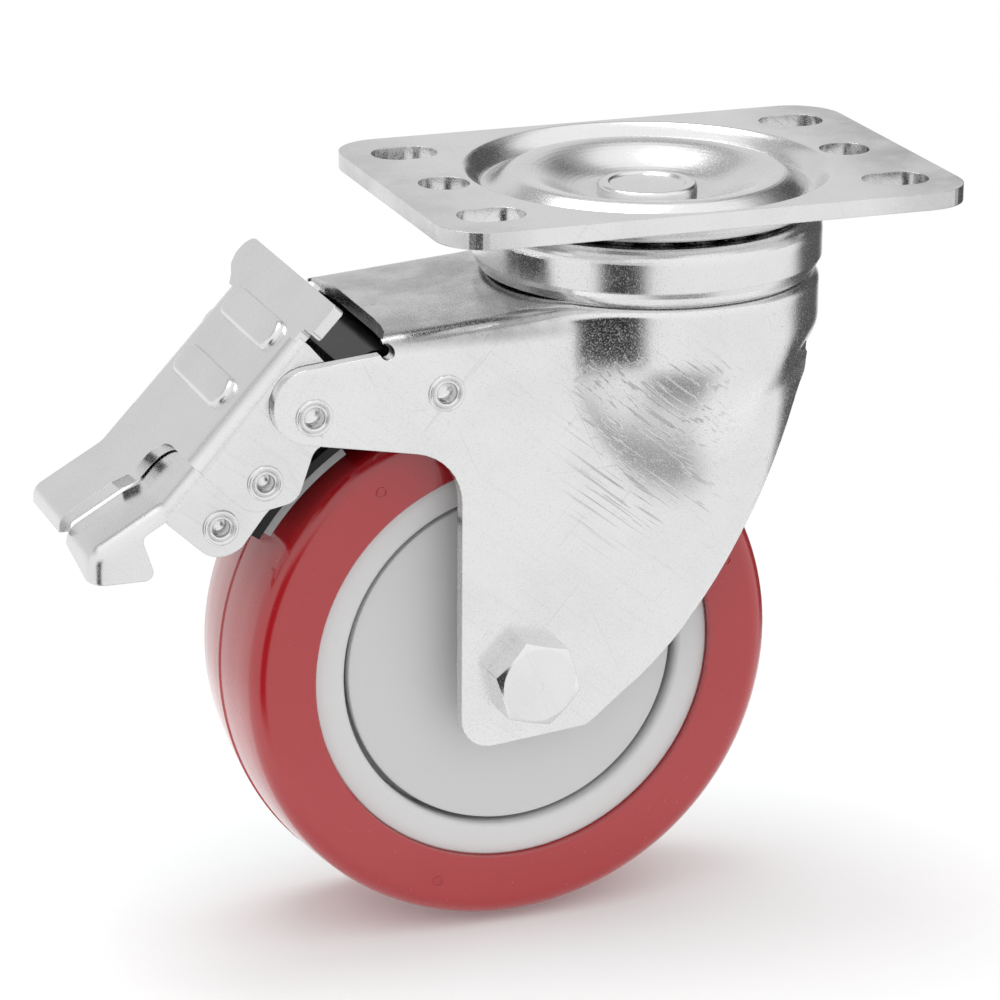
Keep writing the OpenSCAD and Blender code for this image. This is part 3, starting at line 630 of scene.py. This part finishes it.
# %% Curl the front edge and give the sheet its thickness
CURL_IN = 0.13
ahead = x + out*np.cos(turn)
aside = out*np.sin(turn)
fade = below_crown(z)
arc_x = FRONT_CENTRE[0] + FRONT_R*np.cos(np.arcsin(np.clip((z - FRONT_CENTRE[1])/FRONT_R, -1, 1)))
curl_width = 7.0 - 4.5*fade
lean = np.clip(1 - (front_edge(arc_x, z) - ahead)/curl_width, 0, 1.15)
curl = CURL_IN*lean**2*smooth((-25.5 - z)/7)*(1 - 0.9*fade)
aside = aside*(1 - np.where(ahead > 0, curl, 0))
places = np.stack([ahead, side*aside, z], 1)
fork.data.vertices.foreach_set("co", places.ravel()*MM)
tidy(fork)
modify(fork, "SOLIDIFY", thickness=SHEET*MM, offset=-1, use_even_offset=True)
tidy(fork)
print("pressed sheet:", len(fork.data.polygons), "faces")

# %% [markdown]
# Trimming the fork
# The cutters follow the outline and the holes of the CAD fork, so pins, bolt and bearing keep
# their places. Two lines are the scene's own: the front edge lies up to 1.1 mm further out, to make
# up for its curl, and a short bow joins it to the crown. The sheet is intersected with the outline
# once, and the holes and the mouth are cut after it.
# %% Trim the outline
front = [(float(front_edge(x, z)), z) for x, z in arc(*FRONT_CENTRE, FRONT_R, -8.5, -46, 16)]
skirt = [(31.5, -25.0), (30.3, -27.0), (28.5, -28.4), (26.4, -29.4), (24.8, -30.7), (23.4, -32.8)]
foot_and_arm = rounded([(-3.4, -80.9, 0), (-18.9, -94.8, 3), (-42.5, -97.0, 5.5), (-42.5, -42.6, 10),
                        (-76.2, -36.4, 6.5), (-76.2, -24.8, 6.5), (-57.0, -23.0, 0)])
over_top = [(-56.4, -22.9), (-56.4, -15.0)]
outline = [(31.5, CROWN_TOP + 3)] + skirt + front[3:] + foot_and_arm[1:] + over_top
carve(fork, blank("trim", outline, -40, 40), operation="INTERSECT")


def pin_cutter(at, r):
    return turned("pin", [(0, -40), (r, -40), (r, 40), (0, 40)], (at[0], 0, at[1]), "Y", 48)


# %% Cut the holes and the mouth
MOUTH_HALF = CHEEK - SHEET - 0.02
RELIEF = (-55.9, -22.6)
mouth_side = [(-90, MOUTH_HALF), (-56.0, MOUTH_HALF), (-54.9, 17.5), (-54.3, 14), (-54.0, 9)]
mouth_outline = [(x, -y, -29.5) for x, y in mouth_side] + [(x, y, -29.5) for x, y in reversed(mouth_side)]
carve(fork, pin_cutter(AXLE, 4.05), pin_cutter(PEDAL_PIN, PIN_HOLE), pin_cutter(ARM_PIN, PIN_HOLE),
      pin_cutter(RELIEF, 1.3),
      turned("crown_hole", [(0, -26), (22, -26), (22, -10), (0, -10)], (0, 0, 0), "Z", 96),
      prism("mouth", mouth_outline, (0, 0, 14.5)))
tidy(fork)
settle(fork, "swivel_fork", zinc_fork)
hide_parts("fork")

# %% [markdown]
# The tread
# A profile is turned round the axle: a slightly crowned running face, round shoulders, straight
# flanks, and a hairline ridge where the two halves of the mould met. Small raised rings left by
# the mould's ejector pins sit on the flank.
# %% Turn the tread
def wheel_turned(name, profile):
    return turned(name, profile, (AXLE[0], 0, AXLE[1]), "Y", 160)


FLANK = 16.0
lip = [(37.0, -14.5), (37.0, -15.75), (37.25, -FLANK), (40.5, -FLANK)]
shoulder = arc(44.8, -12, 4, -90, -16, 9)
crowned = [(49.15, -9.0), (49.5, -6.0), (49.72, -3.0), (49.76, -0.45), (50.0, -0.2), (50.0, 0)]
near_half = lip + shoulder + crowned
tread = wheel_turned("tread", near_half + [(r, -h) for r, h in reversed(near_half[:-1])])

# %% Raise the rings of the mould's pins
RING_AT = 42.5
marks = []
for turn in (126, 20, -110):
    a = math.radians(turn)
    bpy.ops.mesh.primitive_torus_add(major_radius=0.85*MM, minor_radius=0.16*MM, major_segments=32,
                                     minor_segments=8, rotation=(math.pi/2, 0, 0),
                                     location=Vector((AXLE[0] + RING_AT*math.cos(a), -FLANK - 0.02,
                                                      AXLE[1] + RING_AT*math.sin(a)))*MM)
    bpy.ops.object.transform_apply()
    marks.append(bpy.context.object)
only(tread)
for mark in marks:
    mark.select_set(True)
bpy.ops.object.join()
settle(tread, "wheel", red.material, 40)
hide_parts("tyre")

# %% [markdown]
# Rim and hub caps
# The caps lie a little below the rim's face with a narrow deep gap round them. Seen from the left
# and above, the gap is a hairline on the near side and a dark crescent on the other.
# %% Turn the rim and the caps
CAP_R = 30.35
CAP_IN = 11.7
CAP_OUT = 13.3
FACE = 14.5
hub = [(12.5, -9.5), (17, -9.5), (17, -3), (29.25, -3), (29.25, -8.5), (31.3, -8.5)]
lip = arc(32.2, 0.9 - FACE, 0.9, 180, 270, 4)
rim = wheel_turned("rim_turned", mirrored(hub + lip + [(36.75, -FACE), (37.0, 0.25 - FACE)]))
settle(rim, "wheel", rim_grey, 40)
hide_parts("rim")
for node, sign in (("front_cap", -1), ("rear_cap", 1)):
    section = [(6.6, CAP_IN), (CAP_R, CAP_IN), (CAP_R, CAP_OUT - 0.4), (CAP_R - 0.12, CAP_OUT - 0.1),
               (CAP_R - 0.4, CAP_OUT), (6.6, CAP_OUT)]
    cap = wheel_turned(node + "_turned", [(r, sign*h) for r, h in section])
    settle(cap, "wheel", cap_grey, 40)
    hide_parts(node)

# %% [markdown]
# Tubular pins and rivets
# The two pins and the two rivets are tubes whose ends are rolled outwards. Each end has a rounded
# rim, a fine groove inside it, an inner lip and a deep bore with a pointed bottom.
# %% Roll the ends of pins and rivets
def flared(name, node, at, half, head, shank, body):
    """A tube as long as twice half, with heads of one radius and a shank of another."""
    end = [(0, 3.4), (1.2, 2.9), (shank - 0.75, 2.7), (shank - 0.68, -0.25), (shank - 0.5, -0.55),
           (shank - 0.3, -0.6), (shank - 0.12, -0.45), (shank + 0.02, -0.15), (shank + 0.16, -0.45),
           (shank + 0.34, -0.62), (head - 0.3, -0.6), (head - 0.08, -0.42), (head, -0.15),
           (head, 0), (shank, 0)]
    piece = turned(name, mirrored([(r, h - half) for r, h in end]), (at[0], 0, at[1]), "Y", 64)
    settle(piece, body, zinc_fastener, 50)
    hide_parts(node)


PEDAL_HALF = 19.7
LEVER_HALF = 17.4
flared("pedal_pin", "pedal_pivot", PEDAL_PIN, CHEEK, 3.3, 2.5, "swivel_fork")
flared("arm_pin", "arm_pivot", ARM_PIN, CHEEK, 3.3, 2.5, "swivel_fork")
flared("pedal_tube", "pedal_rivet", PEDAL_RIVET, PEDAL_HALF, 3.2, 2.25, "pedal")
flared("release_tube", "release_rivet", RELEASE_RIVET, LEVER_HALF, 3.2, 2.25, "release")

# %% [markdown]
# The pedal
# Places on the pedal are given along its web, from the upper edge down, and in depth below the
# web's outer face. The pedal is folded from 2 mm sheet: a block with two rounded edges, hollowed
# by a smaller one. Ears, tab and the pressed ribs are joined on, and the web's lower edge sweeps
# into the tab in a curve.
# %% Fold the pedal
WEB = 226.8
TAB = 209.7
WEB_START = Vector((-65.3, -13.3))
TAB_BEND = 44.5
TAB_RUN = 14.5
FOLDED = 2


def along(angle):
    """One millimetre in the side view, in a direction in degrees."""
    return Vector((math.cos(math.radians(angle)), math.sin(math.radians(angle))))


def on_web(u, n):
    """A place in the side view, u down the web and n below its outer face."""
    return WEB_START + u*along(WEB) + n*along(WEB + 90)


def web_point(u, v, n):
    at = on_web(u, n)
    return (at.x, v, at.y)


def web_plate(name, outline, low, high):
    """A shape drawn on the web's plane as (along, across, radius), between two depths."""
    shift = (high - low)*along(WEB + 90)
    return prism(name, [web_point(u, v, low) for u, v in rounded(outline, 6)], (shift.x, 0, shift.y))


def depth_of(point):
    """How far a corner lies below the web's outer face."""
    return (Vector((point.x, point.z)) - on_web(0, 0)).dot(along(WEB + 90))


def channel(name, outline, half, start, finish, depth, radius):
    """A blank with two rounded long edges, hollowed to a sheet from start to finish."""
    piece = blank(name, outline, -half, half)
    round_edges(piece, lambda p: abs(depth_of(p) - depth) < 0.01, radius, 8)
    inside = depth + FOLDED
    far = 70
    corners = [on_web(start, inside), on_web(finish, inside), on_web(finish, far), on_web(start, far)]
    core = blank("core", [tuple(place) for place in corners], FOLDED - half, half - FOLDED)
    round_edges(core, lambda p: abs(depth_of(p) - inside) < 0.01, radius - FOLDED, 6)
    carve(piece, core)
    return piece


def corner(at, radius=0):
    return (at[0], at[1], radius)


def bent_line(depth, start, nose_x, foot, inner, outer):
    """The side line of a tab: down the web, round the bend, over the nose and down."""
    bend = on_web(0, depth) + TAB_BEND*along(WEB)
    shift = depth*math.tan(math.radians((WEB - TAB)/2))
    bend = bend + shift*along(WEB)
    run = (bend.x - nose_x)/-math.cos(math.radians(TAB))
    nose = bend + run*along(TAB)
    return [corner(on_web(start, depth)), corner(bend, inner), corner(nose, outer), (nose_x, foot, 0)]


# %% The pedal's channel
WEB_LOW = 36.2
cheek = rounded([corner(on_web(8, 0)), corner(on_web(WEB_LOW, 0)), (-79.8, -49.8, 5.5),
                 (-71.3, -48.2, 3.5), (-68.3, -39.5, 3), (-63.6, -37, 4), (-63.4, -27.4, 5),
                 corner(on_web(8, 2.6))])
pedal = channel("pedal", cheek, PEDAL_HALF, 4, 42, 0, 4)

# %% [markdown]
# Ears, tab and ribs
# The ears widen the web's upper end, and the tab is its lower end bent to a flatter slope. Both
# lie 4 micrometres inside the web's two faces, because Boolean doesn't join pieces well whose
# faces coincide.
# %% Join the ears and the tab
SHY = 0.004
ears = web_plate("ears", [(0, -22.9, 0.8), (6.4, -22.9, 0.8), (6.4, -18.5, 0.8), (9, -18.5, 0),
                          (9, 18.5, 0), (7.6, 20.5, 1), (6.2, 23.7, 1.5), (4.2, 25.3, 1.5),
                          (0, 25.3, 3.2)], SHY, FOLDED - SHY)
nose_x, nose_z = on_web(TAB_BEND, 0) + TAB_RUN*along(TAB)
tip_z = nose_z - 2.7
outer_line = bent_line(SHY, 35.7, nose_x, tip_z, 6, 3)
inner_line = bent_line(FOLDED - SHY, 35.7, nose_x + FOLDED, tip_z, 8, 1)
tab = blank("tab", rounded(outer_line + inner_line[::-1]), -9, 16.5)
sweep = web_plate("sweep", [(WEB_LOW, -40, 0), (WEB_LOW, -2.4, 5.5), (45, -2.4, 1.5), (48, -1.2, 1.5),
                            (90, -1.2, 0), (90, -40, 0)], -40, 40)
carve(tab, sweep)
carve(pedal, ears, tab, operation="UNION")

# %% Press the ribs and pierce the holes
RIB_HALF_WIDE = 3.1
RIB_HALF_LONG = 13.3
RIB_HIGH = 1.15
for u in (10.9, 23.8):
    signs = ((-1, -1), (1, -1), (1, 1), (-1, 1))
    rib_outline = [(u + i*RIB_HALF_WIDE, j*RIB_HALF_LONG, 2.9) for i, j in signs]
    rib = web_plate("rib", rib_outline, 1.0, -RIB_HIGH)
    round_edges(rib, lambda p: depth_of(p) < 0.01 - RIB_HIGH, 1.0, 4, True)
    carve(pedal, rib, operation="UNION")
carve(pedal, pin_cutter(PEDAL_PIN, PIN_HOLE), pin_cutter(PEDAL_RIVET, RIVET_HOLE))
settle(pedal, "pedal", zinc_lever, 40)
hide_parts("brake_pedal")

# %% [markdown]
# The release lever
# The lever nests inside the pedal and turns on the pedal's rivet. It is folded in the same way, but
# its tab is pressed deep, with a rounded nose and a skirt. So the tab starts as a solid block with
# rounded edges, which a smaller rounded block then hollows.
# %% The lever's channel
LEVER_DEEP = 2.3
lever_side = rounded([corner(on_web(33, LEVER_DEEP)), corner(on_web(44.5, LEVER_DEEP)), (-93.6, -50.7, 0),
                      (-85.1, -58.6, 5.2), (-80.6, -56.2, 2), (-76.4, -50.8, 2), (-71.2, -45.6, 4.5),
                      (-76.2, -38, 5)])
lever = channel("lever", lever_side, LEVER_HALF, 28, 52, LEVER_DEEP, 3)

# %% The lever's deep tab
def near_line(line, side):
    """A test that picks the corners along a side line, on the near side of the lever."""
    path = [Vector(place) for place in rounded(line)]

    def picked(p):
        off = min((Vector((p.x, p.z)) - place).length for place in path)
        return p.y < side + 0.1 and off < 0.01
    return picked


lid_line = bent_line(LEVER_DEEP + SHY, 38, -107.4, -72, 6, 4)
lid = blank("lid", rounded(lid_line + [(-82, -72, 0)]), SHY - LEVER_HALF, -2)
round_edges(lid, near_line(lid_line, -LEVER_HALF), 3, 6)
hollow_line = bent_line(LEVER_DEEP + FOLDED, 30, FOLDED - 107.4, -80, 8, 2.2)
hollow = blank("hollow", rounded(hollow_line + [(-60, -80, 0)]), FOLDED - LEVER_HALF, 3)
round_edges(hollow, near_line(hollow_line, FOLDED - LEVER_HALF), 1, 4)
print("lid and hollow ready")

# %% Trim the tab and join it to the channel
FOOT_SLOPE = math.tan(math.radians(10.3))
foot_cut = prism("foot_cut", [(-112, 3, -57.5 + 5*FOOT_SLOPE), (-112, -25, -57.5 - 23*FOOT_SLOPE),
                              (-112, -25, -75), (-112, 3, -75)], (22, 0, 0))
carve(lid, hollow, foot_cut)
side_shape = blank("side_shape", rounded([(-112, -36, 0), (-112, -60.3, 0), (-95.7, -60.3, 1.5),
                                          (-98.2, -52.6, 1.5), (-93.9, -50.2, 0), (-90, -46, 0),
                                          (-85, -36, 0)]), -25, 5)
carve(lid, side_shape, operation="INTERSECT")
carve(lever, lid, operation="UNION")
carve(lever, pin_cutter(PEDAL_RIVET, RIVET_HOLE), pin_cutter(RELEASE_RIVET, RIVET_HOLE))
settle(lever, "release", zinc_lever, 40)
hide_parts("release_lever")

# %% [markdown]
# The studio
# The castor stands on white paper in a white room. The paper fades out before it ends, so no edge
# shows, and it keeps the soft shadow round the wheel, deepened by painted shade in its colour. The room is
# a world whose brightness depends on direction: bright at the sides and above, darker where the
# photographer stands and behind on the right. Bare metal shows mostly this room, so these dark places draw
# its shapes.
# %% Set the world
def patch(direction, turn, height, wide, tall, soft=0.35):
    """1 inside a patch of the room and 0 outside, with soft edges; angles in degrees.
    turn is counted from the front, -Y, towards the right, +X."""
    x, y, z = direction
    level = x.maths("ARCTAN2", x, y*-1)
    off = x.maths("WRAP", level - math.radians(turn), math.pi, -math.pi)
    rise = x.maths("ARCSINE", z) - math.radians(height)
    across = x.maths("ABSOLUTE", off)/math.radians(wide)
    up = x.maths("ABSOLUTE", rise)/math.radians(tall)
    return (1 - across.step(1 - soft, 1 + soft))*(1 - up.step(1 - soft, 1 + soft))


world = bpy.data.worlds.new("white_room")
bpy.context.scene.world = world
world.use_nodes = True
tree = world.node_tree
background = tree.nodes["Background"]
direction = Wire(tree, tree.nodes.new("ShaderNodeTexCoord").outputs["Generated"]).axes()
dark_front = patch(direction, turn=-37, height=-8, wide=15, tall=20)
dark_low = patch(direction, turn=6, height=-45, wide=24, tall=11, soft=0.5)
dark_back = patch(direction, turn=118, height=-5, wide=24, tall=45)
low_back = patch(direction, turn=180, height=17, wide=62, tall=16, soft=0.5)
band = patch(direction, turn=185, height=40, wide=70, tall=9, soft=0.6)
light = (1 - dark_front*0.97)*(1 - dark_low*0.65)*(1 - dark_back*0.9)*(1 - low_back*0.24)*(1 - band*0.55)
glow = (0.98 + direction[2]*0.08)*light
seen = Wire(tree, tree.nodes.new("ShaderNodeLightPath").outputs["Is Camera Ray"])
level = seen.node("ShaderNodeMix", {"data_type": "FLOAT"}, out=0, i0=seen, i2=glow, i3=1.0)
tree.links.new(level.socket, background.inputs["Strength"])
background.inputs["Color"].default_value = (1, 1, 1, 1)
print("room set:", world.name)

# %% [markdown]
# The paper and the lamp
# A round sheet under the wheel, and one large soft lamp above and behind, whose shadow falls to
# both sides of the wheel. Round the wheel the paper's colour is painted darker and cooler: painted shade.
# %% Lay the paper and hang the lamp
deselect()
floor_z = cad_box[0][2] - 0.0002
bpy.ops.mesh.primitive_circle_add(vertices=96, radius=0.42, fill_type="NGON", location=(-0.03, 0, floor_z))
bpy.ops.object.transform_apply()
paper = bpy.context.object
paper.name = "paper"
white = Finish("paper_with_painted_shade", Roughness=0.9)
spot = white.place.node("ShaderNodeMapping", Vector=white.place, Location=(0.03, -0.02, -floor_z),
                        Scale=(1, 1.7, 1))
distance = white.place.node("ShaderNodeVectorMath", {"operation": "LENGTH"}, out=1, i0=spot)
# Painted shade: close to the wheel the paper's colour is darker and cyan-tinted, which also cancels the red
# light the tread throws on it.
white.feed(Base_Color=distance.step(0.03, 0.12).mix((0.84, 0.90, 0.90, 1), (0.95, 0.95, 0.95, 1)),
           Alpha=1 - distance.step(0.10, 0.24), Emission_Color=(1, 1, 1, 1), Emission_Strength=0.12)
paper.data.materials.append(white.material)


def soft_lamp(name, place, aim, size, power):
    data = bpy.data.lights.new(name, "AREA")
    data.shape = "DISK"
    data.size = size
    data.energy = power
    lamp = bpy.data.objects.new(name, data)
    bpy.context.scene.collection.objects.link(lamp)
    lamp.location = place
    lamp.rotation_euler = (Vector(aim) - Vector(place)).to_track_quat("-Z", "Y").to_euler()
    print(name, "gives", power, "W")


soft_lamp("top_lamp", (-0.15, 0.25, 0.9), (-0.03, 0, -0.08), 0.6, 3.2)
print("paper at", round(floor_z, 4))
